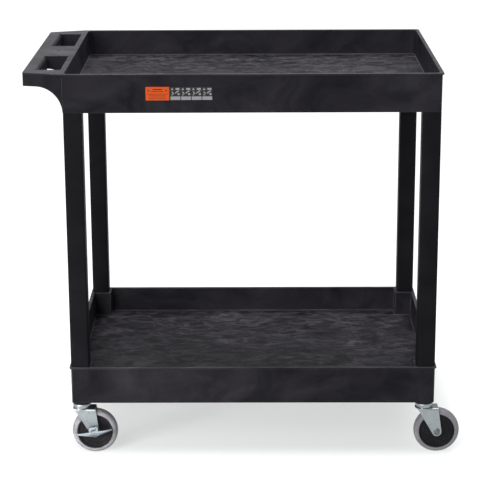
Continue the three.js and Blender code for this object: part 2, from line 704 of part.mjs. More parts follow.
const shapes = {
  upper_tub: geometryOf(upperTub()),
  lower_tub: geometryOf(lowerTub()),
  leg: geometryOf(leg()),
  label: geometryOf(labelPlate()),
  swivel_head: geometryOf(swivelHead()),
  lower_race: geometryOf(lowerRace()),
  ball_ring: geometryOf(ballRing()),
  fork: geometryOf(fork()),
  tyre: geometryOf(tyre()),
  hub: geometryOf(hub()),
  axle_sleeve: geometryOf(axleSleeve()),
  plain_bolt: geometryOf(axleBolt(false)),
  brake_bolt: geometryOf(axleBolt(true)),
  axle_nut: geometryOf(axleNut()),
  brake_cam: geometryOf(brakeCam()),
  brake_pedal: geometryOf(brakePedal()),
};

function piece(name, shape, finish) {
  const mesh = new THREE.Mesh(shapes[shape], new THREE.MeshStandardMaterial(FINISHES[finish]));
  mesh.name = name;
  return mesh;
}

function caster(corner, braked) {
  const swivel = new THREE.Group();
  swivel.add(
    piece(`swivel_head_${corner}`, 'swivel_head', 'zinc'),
    piece(`lower_race_${corner}`, 'lower_race', 'zinc'),
    piece(`ball_ring_${corner}`, 'ball_ring', 'steel'),
    piece(`fork_${corner}`, 'fork', 'zinc'),
  );
  const axle = new THREE.Group();
  axle.position.set(TRAIL, 0, WHEEL_RADIUS);
  axle.add(
    piece(`tyre_${corner}`, 'tyre', 'tyre'),
    piece(`hub_${corner}`, 'hub', 'hub'),
    piece(`axle_sleeve_${corner}`, 'axle_sleeve', 'steel'),
    piece(`axle_bolt_${corner}`, braked ? 'brake_bolt' : 'plain_bolt', 'steel'),
    piece(`axle_nut_${corner}`, 'axle_nut', 'steel'),
  );
  if (braked) {
    axle.add(
      piece(`brake_cam_${corner}`, 'brake_cam', 'steel'),
      piece(`brake_pedal_${corner}`, 'brake_pedal', 'zinc'),
    );
  }
  swivel.add(axle);
  return swivel;
}

const trolley = new THREE.Group();

const upper = piece('upper_tub', 'upper_tub', 'moulding');
upper.position.z = UPPER_RIM_HEIGHT;
const lower = piece('lower_tub', 'lower_tub', 'moulding');
lower.position.z = LOWER_RIM_HEIGHT;
trolley.add(upper, lower, piece('label_plate', 'label', 'label'));

for (const [corner, sideX, sideY, braked] of CORNERS) {
  const tube = piece(`leg_${corner}`, 'leg', 'moulding');
  tube.position.set(sideX * LEG_X, sideY * LEG_Y, 0);
  const wheel = caster(corner, braked);
  wheel.position.set(sideX * LEG_X, sideY * LEG_Y, 0);
  trolley.add(tube, wheel);
}

// The origin is on the floor, below the middle of the whole trolley's box.
const extent = new THREE.Box3().setFromObject(trolley);
const middle = extent.getCenter(new THREE.Vector3());
trolley.position.set(-middle.x, -middle.y, -extent.min.z);

const group = new THREE.Group();
group.add(trolley);

export default group;
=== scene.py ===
# %% [markdown]
# A service trolley in Blender: two black moulded tubs, four square legs, a push handle and four
# swivel casters. The design itself is already fixed elsewhere, as a frame of plain solids that
# turn and roll in the right places. Here each solid gets the surface that a person would see.
# Everything is in metres, X runs along the tubs from the handle end, and Z is up.

import math

import bmesh
import bpy
from mathutils import Matrix, Vector


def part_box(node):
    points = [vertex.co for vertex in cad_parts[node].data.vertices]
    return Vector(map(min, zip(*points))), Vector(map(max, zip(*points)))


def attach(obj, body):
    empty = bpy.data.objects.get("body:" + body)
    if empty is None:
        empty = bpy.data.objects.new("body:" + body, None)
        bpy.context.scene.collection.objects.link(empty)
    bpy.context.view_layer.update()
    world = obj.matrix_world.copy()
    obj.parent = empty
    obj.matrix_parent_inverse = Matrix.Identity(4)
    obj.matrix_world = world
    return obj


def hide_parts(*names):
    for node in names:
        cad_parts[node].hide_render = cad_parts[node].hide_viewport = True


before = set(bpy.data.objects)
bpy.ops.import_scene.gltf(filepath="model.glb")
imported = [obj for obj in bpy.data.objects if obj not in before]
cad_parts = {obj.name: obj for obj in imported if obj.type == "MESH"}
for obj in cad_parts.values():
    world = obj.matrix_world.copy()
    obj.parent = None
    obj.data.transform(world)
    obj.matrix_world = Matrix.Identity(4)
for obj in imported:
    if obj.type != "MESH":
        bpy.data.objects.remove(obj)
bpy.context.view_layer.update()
CORNERS = ("front_left", "front_right", "rear_left", "rear_right")
BRAKED = ("front_left", "rear_left")
MM = 0.001

# %% [markdown]
# The camera comes first, because all the work after it is judged through it. A long lens from far
# away keeps the sides of the trolley nearly parallel, as in a catalogue. It could be aimed with a
# constraint, but a turn worked out from a few angles stays put when the scene changes.

# %% Camera
CAMERA_PLACE = Vector((0.0160, -3.9228, 1.5230))
CAMERA_PITCH_DOWN = math.radians(15.755)
CAMERA_YAW = math.radians(-0.463)
CAMERA_ROLL = math.radians(-0.28)
CAMERA_LENS = 130.6

camera_data = bpy.data.cameras.new("camera")
camera_data.lens = CAMERA_LENS
camera_data.sensor_width = 36.0
camera = bpy.data.objects.new("camera", camera_data)
turn = Matrix.Rotation(-CAMERA_YAW, 4, "Z") @ Matrix.Rotation(math.pi / 2 - CAMERA_PITCH_DOWN, 4, "X")
camera.matrix_world = Matrix.Translation(CAMERA_PLACE) @ turn @ Matrix.Rotation(CAMERA_ROLL, 4, "Z")
bpy.context.scene.collection.objects.link(camera)
bpy.context.scene.camera = camera

# %% [markdown]
# Light in a product studio is large and soft. A broad panel hangs above and a little behind the
# trolley, so the tub floors and the rims catch it and the upright aprons stay dark. A weaker panel
# in front keeps the aprons from going quite black, and a small one on each side lifts the handle and
# the far end. A narrow beam, low on the left, brings out the metal of the near caster. The pale sky
# fills in what is left. Plain colours are shown as they are, so that white stays white. The floor
# glows white to the camera, and the soft shadow under the trolley is painted into that glow.

# %% Floor with a painted shadow, sky and lights
scene = bpy.context.scene
scene.view_settings.view_transform = "Standard"
FLOOR_SIZE = 60.0
SKY_STRENGTH = 0.38
# The floor's glow seen by the camera is dimmed inside a soft rounded rectangle under the trolley: a
# painted shadow, not one cast by the lamps.
PAINTED_SHADOW_GLOW = 0.60
OPEN_GLOW = 0.95
BOUNCED_GLOW = 0.42
PAINTED_SHADOW_MIDDLE = (0.04, 0.0, 0.0)
PAINTED_SHADOW_REACH = (0.385, 0.235, 9.0)
PAINTED_SHADOW_FADE = 0.125


def node_of(tree, kind, **settings):
    """A new node in a tree; settings are its own properties or, with spaces as _, its inputs."""
    made = tree.nodes.new(kind)
    for name, value in settings.items():
        if hasattr(made, name):
            setattr(made, name, value)
        else:
            made.inputs[name.replace("_", " ")].default_value = value
    return made


def area_light(name, place, target, size, watts):
    """A rectangular soft light at a place, turned towards a target."""
    data = bpy.data.lights.new(name, "AREA")
    data.shape = "RECTANGLE"
    data.size, data.size_y = size
    data.energy = watts
    lamp = bpy.data.objects.new(name, data)
    aim = (Vector(target) - Vector(place)).to_track_quat("-Z", "Y")
    lamp.matrix_world = Matrix.Translation(place) @ aim.to_matrix().to_4x4()
    scene.collection.objects.link(lamp)
    return lamp


sky = bpy.data.worlds.new("studio_sky")
sky.use_nodes = True
sky.node_tree.nodes["Background"].inputs["Color"].default_value = (0.97, 0.98, 1.0, 1.0)
sky.node_tree.nodes["Background"].inputs["Strength"].default_value = SKY_STRENGTH
scene.world = sky

area_light("overhead_panel", (0.3, 0.9, 3.6), (0.0, 0.0, 0.4), (4.5, 3.0), 125.0)
area_light("front_panel", (-1.6, -3.4, 2.2), (0.0, 0.0, 0.5), (2.0, 2.0), 95.0)
area_light("left_panel", (-3.2, -0.9, 1.1), (0.0, 0.0, 0.5), (1.6, 1.6), 4.0)
area_light("right_panel", (3.2, -0.9, 1.1), (0.0, 0.0, 0.5), (1.6, 1.6), 6.0)
low_left = area_light("low_left_panel", (-1.5, -1.5, 0.3), (-0.36, -0.3, 0.02), (0.5, 0.5), 1.2)
low_left.data.spread = math.radians(24)

floor_mesh = bpy.data.meshes.new("studio_floor")
floor_bm = bmesh.new()
bmesh.ops.create_grid(floor_bm, x_segments=1, y_segments=1, size=FLOOR_SIZE / 2)
floor_bm.to_mesh(floor_mesh)
floor_bm.free()
studio_floor = bpy.data.objects.new("studio_floor", floor_mesh)
scene.collection.objects.link(studio_floor)
floor_with_painted_shadow = bpy.data.materials.new("floor_with_painted_shadow")
floor_with_painted_shadow.use_nodes = True
floor_shader = floor_with_painted_shadow.node_tree.nodes["Principled BSDF"]
floor_shader.inputs["Base Color"].default_value = (0.3, 0.3, 0.3, 1.0)
floor_shader.inputs["Roughness"].default_value = 0.9
floor_shader.inputs["Specular IOR Level"].default_value = 0.1
floor_shader.inputs["Emission Color"].default_value = (0.98, 1.0, 0.995, 1.0)
floor_tree = floor_with_painted_shadow.node_tree
floor_place = floor_tree.nodes.new("ShaderNodeTexCoord")
vector_steps = [node_of(floor_tree, "ShaderNodeVectorMath", operation=o)
                for o in ("SUBTRACT", "ABSOLUTE", "SUBTRACT", "MAXIMUM", "LENGTH")]
vector_steps[0].inputs[1].default_value = PAINTED_SHADOW_MIDDLE
vector_steps[2].inputs[1].default_value = PAINTED_SHADOW_REACH
floor_tree.links.new(floor_place.outputs["Object"], vector_steps[0].inputs[0])
for earlier, later in zip(vector_steps, vector_steps[1:]):
    floor_tree.links.new(earlier.outputs["Vector"], later.inputs[0])
# Dimmer glow near the trolley, rising outside it: this paints the soft shadow under the trolley.
painted_shadow_rise = node_of(floor_tree, "ShaderNodeMapRange", interpolation_type="SMOOTHSTEP",
                 From_Max=PAINTED_SHADOW_FADE, To_Min=PAINTED_SHADOW_GLOW, To_Max=OPEN_GLOW)
seen = floor_tree.nodes.new("ShaderNodeLightPath")
glow = node_of(floor_tree, "ShaderNodeMix", data_type="FLOAT")
glow.inputs[2].default_value = BOUNCED_GLOW
floor_tree.links.new(vector_steps[-1].outputs["Value"], painted_shadow_rise.inputs["Value"])
floor_tree.links.new(seen.outputs["Is Camera Ray"], glow.inputs["Factor"])
floor_tree.links.new(painted_shadow_rise.outputs["Result"], glow.inputs[3])
floor_tree.links.new(glow.outputs["Result"], floor_shader.inputs["Emission Strength"])
floor_mesh.materials.append(floor_with_painted_shadow)

# %% [markdown]
# Several finishes share the same effects: the cloudy flow marks of foamed plastic, a fine grain,
# and the streaks that rolling leaves in sheet metal. Each effect is a node group with named inputs
# and outputs, built once. A material places it with values of its own, and the shader stays in the
# material. Everything reads Object coordinates, so a pattern stays on its piece when that moves.

# %% Shared effects as node groups
def effect_group(name, inputs, outputs):
    """An empty shader group: inputs as (name, type, value), outputs as (name, type)."""
    group = bpy.data.node_groups.new(name, "ShaderNodeTree")
    for label, kind, value in inputs:
        socket = group.interface.new_socket(label, in_out="INPUT", socket_type=kind)
        if value is not None:
            socket.default_value = value
    for label, kind in outputs:
        group.interface.new_socket(label, in_out="OUTPUT", socket_type=kind)
    return group, group.nodes.new("NodeGroupInput"), group.nodes.new("NodeGroupOutput")


def flow_marks_group():
    """Clouds stretched and swirled, as foamed plastic leaves them where it flowed in the mould."""
    group, given, out = effect_group(
        "flow_marks",
        [("Vector", "NodeSocketVector", None), ("Scale", "NodeSocketFloat", 6.0),
         ("Swirl", "NodeSocketFloat", 1.5)],
        [("Mask", "NodeSocketFloat"), ("Fine Mask", "NodeSocketFloat")],
    )
    links = group.links
    drift = node_of(group, "ShaderNodeTexNoise", Detail=2.0, Roughness=0.5)
    cloud = node_of(group, "ShaderNodeTexNoise", Detail=5.0, Roughness=0.62)
    wisps = node_of(group, "ShaderNodeTexNoise", Detail=6.0, Roughness=0.7)
    shifted = node_of(group, "ShaderNodeVectorMath", operation="MULTIPLY_ADD")
    shifted.inputs[1].default_value = (0.09, 0.09, 0.09)
    finer = node_of(group, "ShaderNodeMath", operation="MULTIPLY")
    finer.inputs[1].default_value = 4.0
    spread = node_of(group, "ShaderNodeMapRange", From_Min=0.32, From_Max=0.68)
    spread_fine = node_of(group, "ShaderNodeMapRange", From_Min=0.44, From_Max=0.66)
    links.new(given.outputs["Vector"], drift.inputs["Vector"])
    links.new(given.outputs["Scale"], drift.inputs["Scale"])
    links.new(drift.outputs["Color"], shifted.inputs[0])
    links.new(given.outputs["Vector"], shifted.inputs[2])
    for texture in (cloud, wisps):
        links.new(shifted.outputs["Vector"], texture.inputs["Vector"])
        links.new(given.outputs["Swirl"], texture.inputs["Distortion"])
    links.new(given.outputs["Scale"], cloud.inputs["Scale"])
    links.new(given.outputs["Scale"], finer.inputs[0])
    links.new(finer.outputs["Value"], wisps.inputs["Scale"])
    links.new(cloud.outputs["Fac"], spread.inputs["Value"])
    links.new(wisps.outputs["Fac"], spread_fine.inputs["Value"])
    links.new(spread.outputs["Result"], out.inputs["Mask"])
    links.new(spread_fine.outputs["Result"], out.inputs["Fine Mask"])
    return group


def fine_grain_group():
    """A pebbled grain for bump, and a slow change of gloss."""
    group, given, out = effect_group(
        "fine_grain",
        [("Vector", "NodeSocketVector", None), ("Scale", "NodeSocketFloat", 900.0)],
        [("Height", "NodeSocketFloat"), ("Gloss Mask", "NodeSocketFloat")],
    )
    links = group.links
    pebbles = node_of(group, "ShaderNodeTexNoise", Detail=3.0, Roughness=0.6)
    patches = node_of(group, "ShaderNodeTexNoise", Detail=3.0, Roughness=0.55)
    slower = node_of(group, "ShaderNodeMath", operation="MULTIPLY")
    slower.inputs[1].default_value = 0.02
    links.new(given.outputs["Vector"], pebbles.inputs["Vector"])
    links.new(given.outputs["Vector"], patches.inputs["Vector"])
    links.new(given.outputs["Scale"], pebbles.inputs["Scale"])
    links.new(given.outputs["Scale"], slower.inputs[0])
    links.new(slower.outputs["Value"], patches.inputs["Scale"])
    links.new(pebbles.outputs["Fac"], out.inputs["Height"])
    links.new(patches.outputs["Fac"], out.inputs["Gloss Mask"])
    return group


def sheet_streaks_group():
    """Faint streaks and cloudy patches of plating on sheet and turned steel."""
    group, given, out = effect_group(
        "sheet_streaks",
        [("Vector", "NodeSocketVector", None), ("Stretch", "NodeSocketVector", (8.0, 60.0, 900.0))],
        [("Streaks", "NodeSocketFloat"), ("Clouds", "NodeSocketFloat")],
    )
    links = group.links
    stretched = node_of(group, "ShaderNodeVectorMath", operation="MULTIPLY")
    streaks = node_of(group, "ShaderNodeTexNoise", Scale=1.0, Detail=4.0, Roughness=0.6)
    clouds = node_of(group, "ShaderNodeTexNoise", Scale=70.0, Detail=4.0, Roughness=0.6, Distortion=0.6)
    links.new(given.outputs["Vector"], stretched.inputs[0])
    links.new(given.outputs["Stretch"], stretched.inputs[1])
    links.new(stretched.outputs["Vector"], streaks.inputs["Vector"])
    links.new(given.outputs["Vector"], clouds.inputs["Vector"])
    links.new(streaks.outputs["Fac"], out.inputs["Streaks"])
    links.new(clouds.outputs["Fac"], out.inputs["Clouds"])
    return group


flow_marks = flow_marks_group()
fine_grain = fine_grain_group()
sheet_streaks = sheet_streaks_group()
print("effects:", [g.name for g in bpy.data.node_groups])

# %% [markdown]
# Materials are small trees with the Principled shader in the middle. Helpers place a group, blend
# two colours by a mask, and turn a height into a bump. Plain numbers go straight onto the shader's
# own sockets.

# %% Helpers for materials
def new_material(name, colour, roughness, metallic=0.0):
    """A material with its tree, its shader and the piece's own coordinates."""
    material = bpy.data.materials.new(name)
    material.use_nodes = True
    tree = material.node_tree
    shader = tree.nodes["Principled BSDF"]
    shader.inputs["Base Color"].default_value = (*colour, 1.0)
    shader.inputs["Roughness"].default_value = roughness
    shader.inputs["Metallic"].default_value = metallic
    place = tree.nodes.new("ShaderNodeTexCoord")
    mapping = tree.nodes.new("ShaderNodeMapping")
    tree.links.new(place.outputs["Object"], mapping.inputs["Vector"])
    return material, tree, shader, mapping


def placed(tree, group, vector, **values):
    """An effect placed in a material, with values for its inputs."""
    node = tree.nodes.new("ShaderNodeGroup")
    node.node_tree = group
    tree.links.new(vector, node.inputs["Vector"])
    for name, value in values.items():
        node.inputs[name.replace("_", " ")].default_value = value
    return node


def blended(tree, mask, first, second):
    """Two colours, or two outputs, mixed by a mask."""
    mix = node_of(tree, "ShaderNodeMix", data_type="RGBA")
    tree.links.new(mask, mix.inputs["Factor"])
    for socket, colour in ((mix.inputs[6], first), (mix.inputs[7], second)):
        if isinstance(colour, tuple):
            socket.default_value = (*colour, 1.0)
        else:
            tree.links.new(colour, socket)
    return mix.outputs[2]


def product(tree, first, second):
    """Two masks multiplied."""
    node = node_of(tree, "ShaderNodeMath", operation="MULTIPLY")
    tree.links.new(first, node.inputs[0])
    tree.links.new(second, node.inputs[1])
    return node.outputs["Value"]


def ranged(tree, value, low, high, from_low=0.0, from_high=1.0):
    """A value carried from one range to another, for roughness and the like."""
    node = node_of(tree, "ShaderNodeMapRange", From_Min=from_low, From_Max=from_high,
                   To_Min=low, To_Max=high)
    tree.links.new(value, node.inputs["Value"])
    return node.outputs["Result"]


def bumped(tree, shader, height, distance, strength):
    """A bump of a real depth, in metres, on a shader's normal."""
    bump = node_of(tree, "ShaderNodeBump", Distance=distance, Strength=strength)
    tree.links.new(height, bump.inputs["Height"])
    tree.links.new(bump.outputs["Normal"], shader.inputs["Normal"])


# %% [markdown]
# Structural foam is the material of the tubs, legs and handle. It is black with a satin skin, and
# the gas in it leaves cloudy swirls, drawn out the way the plastic flowed. Faces that look up are
# paler in patches, partly from a little dust and fine scuffs and partly as painted light from above.
# A painted picture of those marks would need a map for each tub; noise pulled about by other noise
# gives the same look at any size, and differently on every piece.

# %% Finish: black moulding
FLOW_STRETCH = (0.8, 1.5, 1.1)
SATIN = 0.09


def moulding_finish(name, dark, light, dust_and_top_light, scale):
    """Foamed plastic from a dark and a light tone; upward faces are paler in patches, part dust and part
    painted light from above.
    """
    material, tree, shader, mapping = new_material(name, dark, 0.5)
    shader.inputs["Specular IOR Level"].default_value = SATIN
    mapping.inputs["Scale"].default_value = FLOW_STRETCH
    marks = placed(tree, flow_marks, mapping.outputs["Vector"], Scale=scale, Swirl=1.1)
    grain = placed(tree, fine_grain, mapping.outputs["Vector"], Scale=700.0)
    clouded = blended(tree, marks.outputs["Mask"], dark, light)
    # Upward faces turn paler in patches: partly dust and scuffs, partly painted light from above.
    facing = tree.nodes.new("ShaderNodeNewGeometry")
    upward = node_of(tree, "ShaderNodeVectorMath", operation="DOT_PRODUCT")
    upward.inputs[1].default_value = (0.0, 0.0, 1.0)
    tree.links.new(facing.outputs["Normal"], upward.inputs[0])
    up_mask = ranged(tree, upward.outputs["Value"], 0.0, 1.0, 0.6, 0.95)
    drifts = ranged(tree, marks.outputs["Mask"], 0.35, 1.0)
    dust_and_top_light_mask = product(tree, product(tree, up_mask, drifts), marks.outputs["Fine Mask"])
    colour = blended(tree, dust_and_top_light_mask, clouded, dust_and_top_light)
    tree.links.new(colour, shader.inputs["Base Color"])
    rough = ranged(tree, marks.outputs["Fine Mask"], 0.44, 0.58)
    tree.links.new(rough, shader.inputs["Roughness"])
    bumped(tree, shader, grain.outputs["Height"], 0.15 * MM, 0.35)
    return material


moulding = moulding_finish(
    "black_moulding", (0.0060, 0.0053, 0.0078), (0.027, 0.0248, 0.0298), (0.105, 0.098, 0.109), 7.5)
# A paler copy for rims and eased edges: partly wear, partly a painted highlight.
wear_and_highlight_moulding = moulding_finish(
    "wear_and_highlight_moulding", (0.034, 0.0325, 0.0370), (0.070, 0.0660, 0.0730), (0.108, 0.103, 0.111), 9.0)
leg_plastic = moulding_finish(
    "black_leg", (0.0045, 0.0038, 0.0052), (0.009, 0.0082, 0.0108), (0.03, 0.03, 0.032), 7.0)
print("made", moulding.name, wear_and_highlight_moulding.name, leg_plastic.name)

# %% [markdown]
# The casters mix three metals and two plastics. Bright zinc has soft bluish clouds and faint
# rolling streaks; the pedal's zinc is duller, and turned steel is darker still, partly as painted
# shade for the dark marks round the bolt heads. The tyre is a grey rubber with a slight purple
# cast, rougher in patches. The hub is a darker, glossier moulding. The label's inks are all one
# finish, which wears a little paler in clouds.

# %% Finishes: zinc, steel, tyre, hub and label
def metal_finish(name, dark, light, roughness, stretch):
    """Plated or turned steel with streaks along the stretch and clouds in the plating."""
    material, tree, shader, mapping = new_material(name, light, roughness[0], 1.0)
    streaks = placed(tree, sheet_streaks, mapping.outputs["Vector"], Stretch=stretch)
    colour = blended(tree, streaks.outputs["Clouds"], dark, light)
    tree.links.new(colour, shader.inputs["Base Color"])
    rough = ranged(tree, streaks.outputs["Clouds"], roughness[0], roughness[1], 0.3, 0.7)
    tree.links.new(rough, shader.inputs["Roughness"])
    bumped(tree, shader, streaks.outputs["Streaks"], 0.05 * MM, 0.25)
    return material


def tyre_finish():
    """Grey rubber, scuffed in patches, with a fine grain."""
    material, tree, shader, mapping = new_material("grey_rubber", (0.30, 0.29, 0.31), 0.6)
    marks = placed(tree, flow_marks, mapping.outputs["Vector"], Scale=22.0, Swirl=0.8)
    grain = placed(tree, fine_grain, mapping.outputs["Vector"], Scale=1500.0)
    colour = blended(tree, marks.outputs["Mask"], (0.185, 0.178, 0.192), (0.25, 0.243, 0.258))
    tree.links.new(colour, shader.inputs["Base Color"])
    tree.links.new(ranged(tree, marks.outputs["Fine Mask"], 0.5, 0.68), shader.inputs["Roughness"])
    bumped(tree, shader, grain.outputs["Height"], 0.08 * MM, 0.4)
    return material


def hub_finish():
    """Near-black plastic with a soft sheen and a few lighter moulding clouds."""
    material, tree, shader, mapping = new_material("hub_plastic", (0.010, 0.009, 0.012), 0.4)
    shader.inputs["Specular IOR Level"].default_value = 0.2
    marks = placed(tree, flow_marks, mapping.outputs["Vector"], Scale=28.0, Swirl=1.2)
    colour = blended(tree, marks.outputs["Mask"], (0.005, 0.0044, 0.006), (0.012, 0.0108, 0.0138))
    tree.links.new(colour, shader.inputs["Base Color"])
    tree.links.new(ranged(tree, marks.outputs["Fine Mask"], 0.34, 0.5), shader.inputs["Roughness"])
    bumped(tree, shader, marks.outputs["Fine Mask"], 0.05 * MM, 0.3)
    return material


def printed_film(name, colour, worn):
    """Printed film: an even ink that has rubbed a little paler in small clouds."""
    material, tree, shader, mapping = new_material(name, colour, 0.42)
    shader.inputs["Specular IOR Level"].default_value = 0.2
    marks = placed(tree, flow_marks, mapping.outputs["Vector"], Scale=60.0, Swirl=0.5)
    softened = ranged(tree, marks.outputs["Mask"], 0.0, 0.35)
    tree.links.new(blended(tree, softened, colour, worn), shader.inputs["Base Color"])
    tree.links.new(ranged(tree, marks.outputs["Fine Mask"], 0.36, 0.5), shader.inputs["Roughness"])
    return material


zinc = metal_finish(
    "bright_zinc", (0.36, 0.40, 0.415), (0.56, 0.60, 0.615), (0.24, 0.38), (30.0, 30.0, 500.0))
pedal_zinc = metal_finish(
    "pressed_zinc", (0.08, 0.092, 0.105), (0.22, 0.24, 0.26), (0.3, 0.46), (30.0, 30.0, 300.0))
# The steel's dark tones are partly a painted shade, standing in for the dark marks round the bolt heads.
steel = metal_finish(
    "turned_steel", (0.11, 0.115, 0.12), (0.30, 0.31, 0.32), (0.26, 0.4), (40.0, 900.0, 40.0))
rubber = tyre_finish()
hub_plastic = hub_finish()
orange_film = printed_film("orange_film", (0.60, 0.075, 0.006), (0.66, 0.11, 0.02))
grey_film = printed_film("grey_film", (0.27, 0.265, 0.28), (0.36, 0.355, 0.37))
brown_ink = printed_film("brown_ink", (0.05, 0.009, 0.003), (0.08, 0.016, 0.007))
dark_ink = printed_film("dark_ink", (0.02, 0.019, 0.021), (0.06, 0.06, 0.06))
print("materials:", len(bpy.data.materials))

# %% [markdown]
# Most helpers for shapes are short wrappers round mesh operators. A turned part is drawn as half
# its profile, its corners are eased, and it is spun once round its axis. A pressed or moulded part
# starts from a cube or a circle. Each finished piece is an object at the origin with its place in
# its mesh, and it rides on the body that carries it.

# %% Helpers for shapes
FLAT_ANGLE = math.radians(0.5)
SHARP_ANGLE = math.radians(35)


def middle_of(node):
    """The middle of a frame node's box."""
    low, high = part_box(node)
    return (low + high) / 2


def finished(name, bm, body, material, replaces=(), smooth=math.radians(34)):
    """Turns a bmesh into a piece: shading smooth below an angle, riding on its body."""
    mesh = bpy.data.meshes.new(name)
    bm.to_mesh(mesh)
    bm.free()
    mesh.shade_smooth()
    mesh.set_sharp_from_angle(angle=smooth)
    mesh.materials.append(material)
    piece = bpy.data.objects.new(name, mesh)
    scene.collection.objects.link(piece)
    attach(piece, body)
    if replaces:
        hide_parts(*replaces)
    return piece


def bevelled(piece, width):
    """A live bevel on every sharp edge."""
    modifier = piece.modifiers.new("eased_edges", "BEVEL")
    modifier.width = width
    modifier.segments = 2
    modifier.limit_method = "ANGLE"
    modifier.angle_limit = SHARP_ANGLE
    modifier.use_clamp_overlap = False
    modifier.harden_normals = True
    return piece


def moved(bm, place):
    """A bmesh carried to its place."""
    bmesh.ops.translate(bm, verts=bm.verts, vec=place)
    return bm


def rotated(bm, angle, axis):
    """A bmesh turned about an axis through the origin."""
    bmesh.ops.rotate(bm, verts=bm.verts, cent=(0, 0, 0), matrix=Matrix.Rotation(angle, 3, axis))
    return bm


def turned(profile, steps, axis="Z", ease=0.0, ease_segments=2):
    """A solid of revolution from (radius, height) points; ease rounds the corners between them."""
    bm = bmesh.new()
    points = [bm.verts.new((radius, 0.0, height)) for radius, height in profile]
    closed = profile[0][0] > 0 and profile[-1][0] > 0
    pairs = list(zip(points, points[1:])) + ([(points[-1], points[0])] if closed else [])
    for first, second in pairs:
        bm.edges.new((first, second))
    if ease > 0:
        corners = [v for v in points if len(v.link_edges) == 2]
        bmesh.ops.bevel(bm, geom=corners, offset=ease, segments=ease_segments, profile=0.5,
                        affect="VERTICES", material=-1, clamp_overlap=True)
    bmesh.ops.spin(bm, geom=bm.verts[:] + bm.edges[:], cent=(0, 0, 0), axis=(0, 0, 1),
                   angle=math.tau, steps=steps, use_merge=True)
    bmesh.ops.remove_doubles(bm, verts=bm.verts, dist=0.002 * MM)
    bmesh.ops.recalc_face_normals(bm, faces=bm.faces)
    return rotated(bm, -math.pi / 2, "X") if axis == "Y" else bm


def block(low, high):
    """A cube stretched between two corners."""
    bm = bmesh.new()
    bmesh.ops.create_cube(bm, size=1.0)
    low, high = Vector(low), Vector(high)
    bmesh.ops.scale(bm, verts=bm.verts, vec=high - low)
    bmesh.ops.translate(bm, verts=bm.verts, vec=(low + high) / 2)
    return bm


def pin(radius, low, high, axis="Z", steps=40):
    """A plain round bar along an axis, from low to high."""
    bm = bmesh.new()
    bmesh.ops.create_cone(bm, cap_ends=True, segments=steps, radius1=radius, radius2=radius,
                          depth=high - low)
    bmesh.ops.translate(bm, verts=bm.verts, vec=(0, 0, (low + high) / 2))
    return rotated(bm, -math.pi / 2, "X") if axis == "Y" else bm


def combined(base, tools):
    """Joins, cuts or trims a bmesh by others: tools as (operation, bmesh). All of them are used up."""
    made = [base] + [bm for _, bm in tools]
    objects = []
    for bm in made:
        mesh = bpy.data.meshes.new("working")
        bm.to_mesh(mesh)
        bm.free()
        objects.append(bpy.data.objects.new("working", mesh))
        scene.collection.objects.link(objects[-1])
    for (operation, _), tool in zip(tools, objects[1:]):
        modifier = objects[0].modifiers.new(operation, "BOOLEAN")
        modifier.operation = operation
        modifier.object = tool
        modifier.solver = "EXACT"
    evaluated = objects[0].evaluated_get(bpy.context.evaluated_depsgraph_get())
    result = bmesh.new()
    result.from_mesh(evaluated.to_mesh())
    evaluated.to_mesh_clear()
    for used in objects:
        mesh = used.data
        bpy.data.objects.remove(used)
        bpy.data.meshes.remove(mesh)
    bmesh.ops.remove_doubles(result, verts=result.verts, dist=0.005 * MM)
    bmesh.ops.dissolve_limit(result, angle_limit=FLAT_ANGLE, verts=result.verts, edges=result.edges)
    return result


print("helpers ready")

# %% [markdown]
# Each tub is one moulding, with ribs below, sockets for the legs and, on the upper one, the handle
# and its hand holes. All of that is already right in the frame, but its edges are knife sharp and
# a real mould has none of those. Modelling the tub again would only repeat it. So a copy of the
# frame's mesh is merged, its flat triangles are dissolved into whole faces, and each edge gets a
# weight: full where the floor meets the walls, less on the rim, least in the pocket corners. One
# weighted bevel then eases them all. The eased edges and the tops of the rims get a second, paler
# finish: partly wear from hands and boxes, partly a painted highlight where they catch the light.

# %% Tubs
FLOOR_FILLET = 2.6 * MM
RIM_EASE_SHARE = 0.42
PLAIN_EASE_SHARE = 0.18
TUB_DEPTH = 60.0 * MM
TALL_EDGE = 45.0 * MM
RIM_BAND = 2.0 * MM
UPWARD = 0.9
LEVEL_TOLERANCE = 0.05 * MM
EDGE_ANGLE = math.radians(32)
HAND_HOLE_MIDDLE = 155.0 * MM


def merged_copy(node, parted_at):
    """A bmesh of a frame node with its triangles merged into whole flat faces.

    A face round an opening can't be one polygon, so the copy is parted by planes across it.
    """
    bm = bmesh.new()
    bm.from_mesh(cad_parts[node].data)
    bmesh.ops.remove_doubles(bm, verts=bm.verts, dist=0.01 * MM)
    bmesh.ops.dissolve_limit(bm, angle_limit=math.radians(0.3), verts=bm.verts, edges=bm.edges)
    for place, across in parted_at:
        bmesh.ops.bisect_plane(bm, geom=bm.verts[:] + bm.edges[:] + bm.faces[:], dist=0.01 * MM,
                               plane_co=place, plane_no=across)
    return bm


